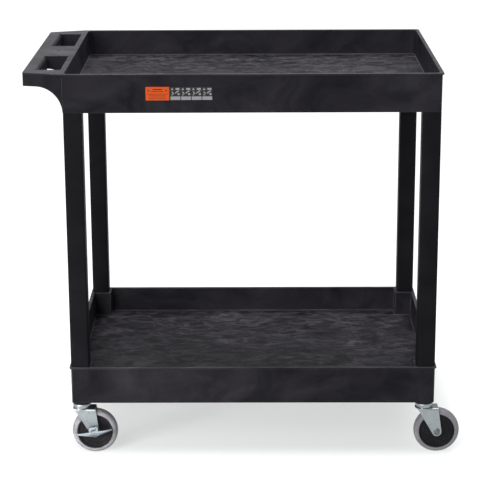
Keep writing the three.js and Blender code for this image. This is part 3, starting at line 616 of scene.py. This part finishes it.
def tub(node, name, opening_middles=()):
    """A tub with eased edges, widest round its floor, and paler on the rim and edges: part wear, part
    painted highlight.
    """
    middle = middle_of(node)
    parted_at = [(middle, (1, 0, 0)), (middle, (0, 1, 0))]
    parted_at += [(middle + Vector((0, y, 0)), (0, 1, 0)) for y in opening_middles]
    bm = merged_copy(node, parted_at)
    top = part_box(node)[1].z
    weight = bm.edges.layers.float.new("bevel_weight_edge")
    for edge in bm.edges:
        if len(edge.link_faces) == 2 and edge.calc_face_angle() > EDGE_ANGLE:
            heights = [top - v.co.z for v in edge.verts]
            on_rim = all(abs(h) < LEVEL_TOLERANCE for h in heights)
            on_floor = all(abs(h - TUB_DEPTH) < LEVEL_TOLERANCE for h in heights)
            tall = edge.calc_length() > TALL_EDGE and abs(heights[0] - heights[1]) > TALL_EDGE
            eased = RIM_EASE_SHARE if on_rim or tall else PLAIN_EASE_SHARE
            edge[weight] = 1.0 if on_floor else eased
    # The rim tops take the paler finish: partly wear, partly a painted highlight.
    for face in bm.faces:
        on_top = face.normal.z > UPWARD and face.calc_center_median().z > top - RIM_BAND
        face.material_index = 1 if on_top else 0
    piece = finished(name, bm, "cart", moulding, replaces=(node,))
    piece.data.materials.append(wear_and_highlight_moulding)
    modifier = piece.modifiers.new("eased_edges", "BEVEL")
    modifier.width = FLOOR_FILLET
    modifier.segments = 3
    # The bevel faces take the paler finish too, which paints a highlight along every eased edge, partly
    # wear.
    modifier.material = 1
    modifier.limit_method = "WEIGHT"
    modifier.use_clamp_overlap = False
    modifier.harden_normals = True
    return piece


upper = tub("upper_tub", "upper_tub_moulding", (-HAND_HOLE_MIDDLE, HAND_HOLE_MIDDLE))
lower = tub("lower_tub", "lower_tub_moulding")
print("tub faces before the bevel:", len(upper.data.polygons), len(lower.data.polygons))

# %% [markdown]
# A small round gate mark sits in the middle of the handle, where the plastic entered the mould. It
# is a shallow turned button with a raised ring, spun from half its profile.

# %% Gate mark on the handle
GATE_RADIUS = 4.0 * MM
GATE_RISE = 0.35 * MM
handle_low, handle_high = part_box("upper_tub")
GATE_FROM_END = 49.0 * MM
gate_place = Vector((handle_low.x + GATE_FROM_END, (handle_low.y + handle_high.y) / 2,
                     handle_high.z + GATE_RISE))
gate = turned([
    (0.0, -2 * GATE_RISE), (GATE_RADIUS, -2 * GATE_RISE), (GATE_RADIUS, -GATE_RISE * 0.4),
    (GATE_RADIUS * 0.9, 0.0), (GATE_RADIUS * 0.74, 0.0), (GATE_RADIUS * 0.66, -GATE_RISE * 0.6),
    (0.0, -GATE_RISE * 0.5),
], 40)
finished("gate_mark", moved(gate, gate_place), "cart", moulding)
print("gate mark at", tuple(round(v, 4) for v in gate_place))

# %% [markdown]
# A leg is a square tube with rounded corners whose ends step in, so that its shoulders rest on the
# tubs. A tube could be a cube with a bevel. Here a flat square gets its corners rounded, is drawn
# up into a bar, and three such bars are joined and cut. The live bevel then eases the shoulders.

# %% Legs
LEG_HALF = 20.3 * MM
LEG_CORNER = 5.0 * MM
NECK_HALF = 17.9 * MM
NECK_CORNER = 2.6 * MM
BORE_HALF = 14.9 * MM
BORE_CORNER = 1.4 * MM
LOWER_SHOULDER = 206.3 * MM
UPPER_SHOULDER = 778.7 * MM


def rounded_bar(half_x, half_y, corner, low, high, corner_segments=5):
    """A bar with rounded corners, drawn up along Z from low to high."""
    bm = bmesh.new()
    bmesh.ops.create_grid(bm, x_segments=1, y_segments=1, size=1.0)
    bmesh.ops.scale(bm, verts=bm.verts, vec=(half_x, half_y, 1.0))
    bmesh.ops.bevel(bm, geom=bm.verts[:], offset=corner, segments=corner_segments, profile=0.5,
                    affect="VERTICES", material=-1)
    bmesh.ops.translate(bm, verts=bm.verts, vec=(0, 0, low))
    drawn = bmesh.ops.extrude_face_region(bm, geom=bm.faces[:])
    risen = [part for part in drawn["geom"] if isinstance(part, bmesh.types.BMVert)]
    bmesh.ops.translate(bm, verts=risen, vec=(0, 0, high - low))
    bmesh.ops.recalc_face_normals(bm, faces=bm.faces)
    return bm


for corner in CORNERS:
    leg_low, leg_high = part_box("leg_" + corner)
    leg_bm = combined(rounded_bar(LEG_HALF, LEG_HALF, LEG_CORNER, LOWER_SHOULDER, UPPER_SHOULDER), [
        ("UNION", rounded_bar(NECK_HALF, NECK_HALF, NECK_CORNER, leg_low.z, leg_high.z)),
        ("DIFFERENCE", rounded_bar(BORE_HALF, BORE_HALF, BORE_CORNER, leg_low.z - MM, leg_high.z + MM)),
    ])
    leg_middle = middle_of("leg_" + corner)
    moved(leg_bm, (leg_middle.x, leg_middle.y, 0))
    leg = finished("leg_tube_" + corner, leg_bm, "cart", leg_plastic, ("leg_" + corner,))
    bevelled(leg, 0.6 * MM)
print("legs:", len(CORNERS), "from", round(leg_low.z, 4), "to", round(leg_high.z, 4))

# %% [markdown]
# The label is a film with an orange panel beside four small pictogram panels. It carries no words.
# Every mark is a thin closed tile that stands a hair proud of the one below, as layers of ink do.
# A drawn picture would look finer from close up, but tiles keep their edges crisp in any render.

# %% Label
FILM_LIFT = 0.06 * MM
ORANGE_SHARE = 0.352
PANELS = 4
label_low, label_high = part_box("label_plate")
label_width = label_high.x - label_low.x
label_height = label_high.z - label_low.z


def upright(bm, place):
    """Stands a flat tile up so that it faces the long side of the trolley."""
    return moved(rotated(bm, math.pi / 2, "X"), place)


def tile(x, z, width, height, lift, corner=0.5 * MM, lean=0.0):
    """A rounded tile on the label; x and z count from the label's lower left corner."""
    bm = rounded_bar(width / 2, height / 2, corner, -0.3 * MM, lift, 3)
    return upright(rotated(bm, lean, "Z"), (label_low.x + x, label_low.y, label_low.z + z))


def spot(x, z, radius, lift, sides=20):
    """A flat disc on the label, or a triangle if it has three sides."""
    bm = pin(radius, -0.3 * MM, lift, steps=sides)
    return upright(bm, (label_low.x + x, label_low.y, label_low.z + z))


def gathered(parts):
    """Several bmeshes put into one."""
    whole = bmesh.new()
    for part in parts:
        mesh = bpy.data.meshes.new("working")
        part.to_mesh(mesh)
        part.free()
        whole.from_mesh(mesh)
        bpy.data.meshes.remove(mesh)
    return whole


backing = rounded_bar(label_width / 2, label_height / 2, 1.2 * MM, -0.5 * MM, 0.0, 4)
label_middle = middle_of("label_plate")
upright(backing, (label_middle.x, label_low.y, label_middle.z))
finished("label_film", backing, "cart", dark_ink, ("label_plate",))

orange_width = label_width * ORANGE_SHARE
orange = tile(orange_width / 2, label_height / 2, orange_width, label_height, FILM_LIFT, 1.2 * MM)
finished("label_orange_panel", orange, "cart", orange_film)

brown = [
    tile(orange_width / 2, label_height * 0.80, orange_width * 0.40, 2.0 * MM, 2 * FILM_LIFT),
    tile(orange_width / 2, label_height * 0.66, orange_width * 0.52, 1.1 * MM, 2 * FILM_LIFT),
    tile(orange_width / 2, label_height * 0.47, orange_width * 0.92, 0.8 * MM, 2 * FILM_LIFT, 0.3 * MM),
    spot(orange_width * 0.12, label_height * 0.73, 2.6 * MM, 2 * FILM_LIFT, 3),
    spot(orange_width * 0.88, label_height * 0.73, 2.6 * MM, 2 * FILM_LIFT, 3),
]
for row in range(3):
    brown.append(tile(orange_width / 2, label_height * (0.14 + 0.12 * row), orange_width * 0.72,
                      0.7 * MM, 2 * FILM_LIFT, 0.3 * MM))
finished("label_dark_marks", gathered(brown), "cart", brown_ink)

pale = []
panel_pitch = (label_width - orange_width - 2 * MM) / PANELS
for index in range(PANELS):
    x = orange_width + 2 * MM + panel_pitch * (index + 0.5)
    reach = panel_pitch * 0.30
    pale.append(tile(x, label_height * 0.16, panel_pitch * 0.92, label_height * 0.26, FILM_LIFT))
    pale.append(spot(x - reach, label_height * 0.82, 3.3 * MM, FILM_LIFT, 3))
    pale.append(tile(x + reach * 0.7, label_height * 0.84, 8.5 * MM, 4.2 * MM, FILM_LIFT, 0.8 * MM))
    pale.append(tile(x + reach * 0.5, label_height * 0.62, 9.5 * MM, 2.4 * MM, FILM_LIFT, 0.5 * MM, 0.6))
    pale.append(tile(x - reach * 0.8, label_height * 0.55, 6.5 * MM, 2.2 * MM, FILM_LIFT,
                     0.5 * MM, -0.9))
    pale.append(spot(x + reach, label_height * 0.46, 2.4 * MM, FILM_LIFT))
    pale.append(spot(x - reach, label_height * 0.41, 2.2 * MM, FILM_LIFT, 3))
finished("label_pale_marks", gathered(pale), "cart", grey_film)
print("label marks:", len(brown) + len(pale))

# %% [markdown]
# The swivel of a caster is a stack of turned pieces. The head, with the stem that is pressed into
# the tub and the king pin below, stays with the cart. The race under it turns with the fork, and a
# ring of bearing balls runs between them. Each is spun from half its profile with eased corners.
# The balls are small spheres set in a ring, with few faces, because only glints of them ever show.

# %% Swivel heads, races and balls
HEAD_RADIUS = 20.0
HEAD_TOP = 117.0
STEM_RADIUS = 5.4
STEM_TOP = 155.0
PIN_RADIUS = 4.5
RACE_RADIUS = 17.9
RACE_INSIDE = 9.5
BALL_RADIUS = 2.1
BALL_TRACK = 13.0
BALL_HEIGHT = 110.9
BALL_COUNT = 18


def in_mm(profile):
    """A profile drawn in millimetres, carried to metres."""
    return [(radius * MM, height * MM) for radius, height in profile]


def swivel_place(corner):
    """Where a caster's swivel axis meets the floor."""
    axis = middle_of("swivel_head_" + corner)
    return Vector((axis.x, axis.y, 0.0))


head_profile = [
    (0, 99.6), (6.1, 99.6), (7.5, 101.0), (7.5, 103.2), (PIN_RADIUS, 103.2), (PIN_RADIUS, 113.7),
    (HEAD_RADIUS - 1.6, 113.7), (HEAD_RADIUS - 1.6, 110.8), (HEAD_RADIUS, 110.8), (HEAD_RADIUS, 115.6),
    (HEAD_RADIUS - 1.4, HEAD_TOP), (STEM_RADIUS, HEAD_TOP), (STEM_RADIUS, STEM_TOP - 1.5),
    (STEM_RADIUS - 1.5, STEM_TOP), (0, STEM_TOP),
]
race_profile = [
    (RACE_INSIDE, 106.3), (RACE_RADIUS, 106.3), (RACE_RADIUS, 111.95), (RACE_RADIUS - 1.4, 111.95),
    (RACE_RADIUS - 1.4, 108.5), (RACE_INSIDE, 108.5),
]


def ball_ring_bm():
    """Bearing balls evenly round their track."""
    whole = bmesh.new()
    for index in range(BALL_COUNT):
        angle = math.tau * index / BALL_COUNT
        seat = Matrix.Translation((BALL_TRACK * MM, 0, BALL_HEIGHT * MM))
        bmesh.ops.create_icosphere(whole, subdivisions=2, radius=BALL_RADIUS * MM,
                                   matrix=Matrix.Rotation(angle, 4, "Z") @ seat)
    return whole


for corner in CORNERS:
    place = swivel_place(corner)
    swivel = "swivel_" + corner
    head = moved(turned(in_mm(head_profile), 64, ease=0.5 * MM, ease_segments=3), place)
    finished("caster_head_" + corner, head, "cart", zinc, ("swivel_head_" + corner,))
    race = moved(turned(in_mm(race_profile), 64, ease=0.4 * MM, ease_segments=3), place)
    finished("caster_race_" + corner, race, swivel, zinc, ("lower_race_" + corner,))
    balls = moved(ball_ring_bm(), place)
    finished("caster_balls_" + corner, balls, swivel, steel, ("ball_ring_" + corner,),
             smooth=math.pi)
print("balls in each race:", BALL_COUNT)

# %% [markdown]
# The fork is one piece of folded sheet: a crown under the race and two plates that narrow to a
# rounded end at the axle. Folding a sheet face by face would work, but cutting is closer to how the
# shape is thought of. A channel with rounded shoulders is trimmed by the plates' outline, which is
# the convex hull of the end disc and the shoulder corners; then the crown's disc joins it.

# %% Forks
TRAIL = 28.4
AXLE_HEIGHT = 50.8
FORK_HALF_OUT = 18.0
FORK_HALF_IN = 15.5
CROWN_TOP = 106.0
CROWN_UNDER = 103.5
CROWN_RADIUS = 20.5
FORK_END = 10.5
FORK_LEAD = -14.0
FORK_TRAIL = 31.0
AXLE_HOLE = 4.3
PIN_HOLE = 4.8


def channel(half_width, low, top, bend):
    """A long block whose two upper edges are rounded, for the sheet's outside or inside."""
    bm = block((-40 * MM, -half_width, low), (60 * MM, half_width, top))
    shoulders = [e for e in bm.edges if all(v.co.z > top - MM for v in e.verts)]
    shoulders = [e for e in shoulders if abs(e.verts[0].co.y - e.verts[1].co.y) < MM]
    bmesh.ops.bevel(bm, geom=shoulders, offset=bend, segments=6, profile=0.5, affect="EDGES",
                    material=-1, clamp_overlap=True)
    return bm


def disc_hull(bm, corners, low, high):
    """The convex hull, along Y from low to high, of a round bar and some (x, z) corners."""
    bmesh.ops.delete(bm, geom=bm.edges[:] + bm.faces[:], context="EDGES_FACES")
    for x, z in corners:
        bm.verts.new((x * MM, low * MM, z * MM))
        bm.verts.new((x * MM, high * MM, z * MM))
    hull = bmesh.ops.convex_hull(bm, input=bm.verts[:])
    inside = [g for g in hull["geom_interior"] if isinstance(g, bmesh.types.BMVert)]
    bmesh.ops.delete(bm, geom=inside, context="VERTS")
    bmesh.ops.recalc_face_normals(bm, faces=bm.faces)
    bmesh.ops.dissolve_limit(bm, angle_limit=FLAT_ANGLE, verts=bm.verts, edges=bm.edges)
    return bm


def plate_outline():
    """The side view of the plates as a solid: the hull of the end disc and the shoulders."""
    end = moved(pin(FORK_END * MM, -30 * MM, 30 * MM, "Y", 48), (TRAIL * MM, 0, AXLE_HEIGHT * MM))
    shoulders = [(x, z) for x in (FORK_LEAD, FORK_TRAIL) for z in (CROWN_TOP - 3, CROWN_TOP + 1)]
    return disc_hull(end, shoulders, -30, 30)


def fork_bm():
    """The fork about its swivel axis, with its height from the floor."""
    axle_hole = pin(AXLE_HOLE * MM, -30 * MM, 30 * MM, axis="Y", steps=32)
    return combined(channel(FORK_HALF_OUT * MM, 0.0, CROWN_TOP * MM, 4.0 * MM), [
        ("DIFFERENCE", channel(FORK_HALF_IN * MM, -10 * MM, CROWN_UNDER * MM, 1.5 * MM)),
        ("INTERSECT", plate_outline()),
        ("UNION", pin(CROWN_RADIUS * MM, CROWN_UNDER * MM, CROWN_TOP * MM, steps=72)),
        ("DIFFERENCE", pin(PIN_HOLE * MM, 90 * MM, 120 * MM, steps=40)),
        ("DIFFERENCE", moved(axle_hole, (TRAIL * MM, 0, AXLE_HEIGHT * MM))),
    ])


for corner in CORNERS:
    shape = moved(fork_bm(), swivel_place(corner))
    fork = finished("caster_fork_" + corner, shape, "swivel_" + corner, zinc,
                    ("fork_" + corner,))
    bevelled(fork, 0.45 * MM)
print("fork faces before the bevel:", len(fork.data.polygons))

# %% [markdown]
# A wheel is a grey tyre with a strongly rounded tread on a dark moulded centre. Both are spun round
# the axle. The tread's section is a superellipse, which stays round on top and full at the sides.
# The centre has a rim, a shallow web with two faint rings, and a boss round the bearing sleeve.

# %% Tyres and hubs
TYRE_RADIUS = 50.8
TYRE_INSIDE = 40.1
TYRE_HALF = 13.2
TREAD_POWER = 2.5
TREAD_POINTS = 24


def tyre_profile():
    """Half the tyre's section, from one bead over the tread to the other."""
    depth = TYRE_RADIUS - TYRE_INSIDE
    points = []
    for step in range(TREAD_POINTS + 1):
        angle = math.pi * step / TREAD_POINTS
        across = math.copysign(abs(math.cos(angle)) ** (2 / TREAD_POWER), math.cos(angle))
        out = math.sin(angle) ** (2 / TREAD_POWER) if 0 < step < TREAD_POINTS else 0.0
        points.append((TYRE_INSIDE + depth * out, TYRE_HALF * across))
    return points


HUB_SIDE = [
    (6.3, 14.0), (11.0, 14.0), (12.0, 13.0), (12.8, 9.2), (19.0, 9.0), (19.6, 9.7), (21.0, 9.7),
    (21.6, 9.0), (27.0, 9.0), (27.6, 9.8), (29.0, 9.8), (29.6, 9.1), (34.8, 9.2), (36.2, 11.5),
    (39.8, 11.5),
]


def wheel_place(corner):
    """The middle of a wheel."""
    return middle_of("tyre_" + corner)


for corner in CORNERS:
    wheel = "wheel_" + corner
    tread = moved(turned(in_mm(tyre_profile()), 96, axis="Y"), wheel_place(corner))
    finished("wheel_tyre_" + corner, tread, wheel, rubber, ("tyre_" + corner,))
    section = HUB_SIDE + [(radius, -height) for radius, height in reversed(HUB_SIDE)]
    centre = turned(in_mm(section), 80, axis="Y", ease=0.25 * MM)
    finished("wheel_hub_" + corner, moved(centre, wheel_place(corner)), wheel, hub_plastic,
             ("hub_" + corner,))
print("tyre section points:", TREAD_POINTS + 1)

# %% [markdown]
# The axle is a bolt through a bearing sleeve, with a nut behind. Hexagon heads have corners cut off
# at a slant, which comes from trimming a six-sided prism by a turned cone. The bare thread beyond
# the nut is three small rings rather than a true helix, since so little of it shows.

# %% Sleeves, bolts, nuts and cams
HEX_CORNER_RADIUS = 7.506
HEAD_HEIGHT = 4.5
AXLE_RADIUS = 4.0
SLEEVE_RADIUS = 6.0
CAM_RADIUS = 11.0
CHAMFER = 1.3
CHAMFER_RISE = 1.05
THREAD_END = 2.0


def hexagon(low, high, low_cut, high_cut):
    """A six-sided head along Y, with its corners slanted at either end where asked."""
    prism = pin(HEX_CORNER_RADIUS * MM, low * MM, high * MM, axis="Y", steps=6)
    wide = HEX_CORNER_RADIUS + 0.5
    narrow = HEX_CORNER_RADIUS - CHAMFER
    profile = [
        (0, low), (narrow if low_cut else wide, low), (wide, low + CHAMFER_RISE),
        (wide, high - CHAMFER_RISE), (narrow if high_cut else wide, high), (0, high),
    ]
    return combined(prism, [("INTERSECT", turned(in_mm(profile), 48, axis="Y"))])


def bolt_bm(low, high):
    """An axle bolt whose head starts at low and whose thread ends at high, about the axle."""
    seat = low + HEAD_HEIGHT
    shank = [(0, seat - 1), (AXLE_RADIUS, seat - 1), (AXLE_RADIUS, high - THREAD_END)]
    for ring in range(3):
        at = high - THREAD_END + 0.5 * ring
        shank += [(AXLE_RADIUS - 0.4, at + 0.12), (AXLE_RADIUS, at + 0.37)]
    shank += [(AXLE_RADIUS - 0.7, high), (0, high)]
    return combined(hexagon(low, seat, True, False), [("UNION", turned(in_mm(shank), 32, axis="Y"))])


def nut_bm(low, high):
    """A nut with its bore, about the axle."""
    bore = pin((AXLE_RADIUS + 0.3) * MM, (low - 1) * MM, (high + 1) * MM, axis="Y", steps=32)
    return combined(hexagon(low, high, True, True), [("DIFFERENCE", bore)])


def washer_profile(inner, outer, low, high):
    """The section of a ring between two heights."""
    return [(inner, low), (outer, low), (outer, high), (inner, high)]


def span_of(node, corner):
    """A node's reach along Y, counted from the wheel's middle, in millimetres."""
    low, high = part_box(node + "_" + corner)
    middle = wheel_place(corner).y
    return (low.y - middle) / MM, (high.y - middle) / MM


for corner in CORNERS:
    place = wheel_place(corner)
    swivel = "swivel_" + corner
    tube = washer_profile(AXLE_HOLE, SLEEVE_RADIUS, *span_of("axle_sleeve", corner))
    sleeve = turned(in_mm(tube), 40, axis="Y", ease=0.3 * MM)
    finished("sleeve_" + corner, moved(sleeve, place), swivel, steel,
             ("axle_sleeve_" + corner,))
    bolt = moved(bolt_bm(*span_of("axle_bolt", corner)), place)
    finished("bolt_" + corner, bolt, swivel, steel, ("axle_bolt_" + corner,))
    nut = moved(nut_bm(*span_of("axle_nut", corner)), place)
    finished("nut_" + corner, nut, swivel, steel, ("axle_nut_" + corner,))
for corner in BRAKED:
    disc = washer_profile(AXLE_HOLE, CAM_RADIUS, *span_of("brake_cam", corner))
    cam = turned(in_mm(disc), 48, axis="Y", ease=0.35 * MM)
    finished("cam_" + corner, moved(cam, wheel_place(corner)), "swivel_" + corner, steel,
             ("brake_cam_" + corner,))
print("axle pieces done")

# %% [markdown]
# The brake pedal is pressed from sheet: a tab on the axle, a fold over the bolt head, and a long
# blade that slopes out and tapers to a tip on each side. The blade starts as a flat grid. Each of
# its points is placed by a formula that draws in the wings and swells the middle, and the sheet then
# gets its thickness. The tab, the fold and two pressed ribs join it, and a slanted window is cut.

# %% Brake pedals
SHEET = 1.8
TAB_HALF = 10.5
TAB_TOP = 15.0
TAB_FRONT = -22.0
TAB_BACK = -20.2
FOLD = -28.6
SLOPE_OUT = 9.5
SLOPE_DOWN = 18.0
WING_TOP = 12.35
WING_TIP = 3.0
PEDAL_HALF = 41.0
PEDAL_TILT = math.radians(-8.6)
SLOPE = math.hypot(SLOPE_OUT, SLOPE_DOWN)
DOWN_SLOPE = Vector((0.0, -SLOPE_OUT, -SLOPE_DOWN)) / SLOPE
OFF_SLOPE = Vector((0.0, -SLOPE_DOWN, SLOPE_OUT)) / SLOPE


def on_slope(x, up, off):
    """A point of the blade: x along it, up its slope from the lowest edge, and off its face."""
    start = Vector((x, FOLD, TAB_TOP))
    return (start + DOWN_SLOPE * (SLOPE - up) + OFF_SLOPE * off) * MM


def blade_bm():
    """The boat-shaped blade with its wings."""
    bm = bmesh.new()
    bmesh.ops.create_grid(bm, x_segments=48, y_segments=8, size=1.0)
    for vert in bm.verts:
        along, across = vert.co.x, (vert.co.y + 1) / 2
        tip = abs(along)
        bottom = (WING_TOP - WING_TIP) * tip ** 1.25
        top = WING_TOP - 1.2 * math.sin(math.pi * min(tip, 1.0))
        swell = 1.3 * (1 - tip ** 2) * math.sin(math.pi * across)
        lip = 1.5 * across ** 4 * (1 - 0.6 * tip)
        vert.co = on_slope(PEDAL_HALF * along, bottom + (top - bottom) * across, swell + lip)
    bmesh.ops.recalc_face_normals(bm, faces=bm.faces)
    bmesh.ops.solidify(bm, geom=bm.faces[:], thickness=SHEET * MM)
    bmesh.ops.recalc_face_normals(bm, faces=bm.faces)
    return bm


def slope_block(x_half, up_low, up_high, off_low, off_high, lean=0.0):
    """A block lying on the blade's slope, turned by a lean within its face."""
    middle_up = (up_low + up_high) / 2
    bm = block((-x_half, up_low - middle_up, off_low), (x_half, up_high - middle_up, off_high))
    rotated(bm, lean, "Z")
    for vert in bm.verts:
        vert.co = on_slope(vert.co.x, vert.co.y + middle_up, vert.co.z)
    bmesh.ops.recalc_face_normals(bm, faces=bm.faces)
    return bm


def pedal_bm():
    """The whole pedal about the axle, tilted as it stands when the brake is off."""
    tab = pin(TAB_HALF * MM, TAB_FRONT * MM, TAB_BACK * MM, axis="Y", steps=64)
    disc_hull(tab, [(-TAB_HALF, TAB_TOP), (TAB_HALF, TAB_TOP)], TAB_FRONT, TAB_BACK)
    fold_half = TAB_HALF - 0.1
    fold = block((-fold_half * MM, (FOLD - SHEET) * MM, (TAB_TOP - SHEET) * MM),
                 (fold_half * MM, (TAB_BACK - 0.6) * MM, (TAB_TOP - 0.07) * MM))
    bore = pin(AXLE_HOLE * MM, (TAB_FRONT - 1) * MM, (TAB_BACK + 1) * MM, axis="Y", steps=32)
    bm = combined(tab, [
        ("UNION", fold),
        ("UNION", slope_block(TAB_HALF - 0.5, 8.0, SLOPE, 0.15, SHEET + 0.1)),
        ("UNION", blade_bm()),
        ("UNION", slope_block(7.5, 16.2, 17.8, 0.6, 2.9, 0.28)),
        ("UNION", slope_block(7.5, 10.6, 12.2, 0.6, 3.2, 0.28)),
        ("DIFFERENCE", slope_block(6.2, 13.1, 15.3, -3.0, 5.0, 0.28)),
        ("DIFFERENCE", bore),
    ])
    return rotated(bm, PEDAL_TILT, "Y")


for corner in BRAKED:
    shape = moved(pedal_bm(), wheel_place(corner))
    pedal = finished("pedal_" + corner, shape, "pedal_" + corner, pedal_zinc,
                     ("brake_pedal_" + corner,))
    bevelled(pedal, 0.3 * MM)
print("pedal faces before the bevel:", len(pedal.data.polygons))
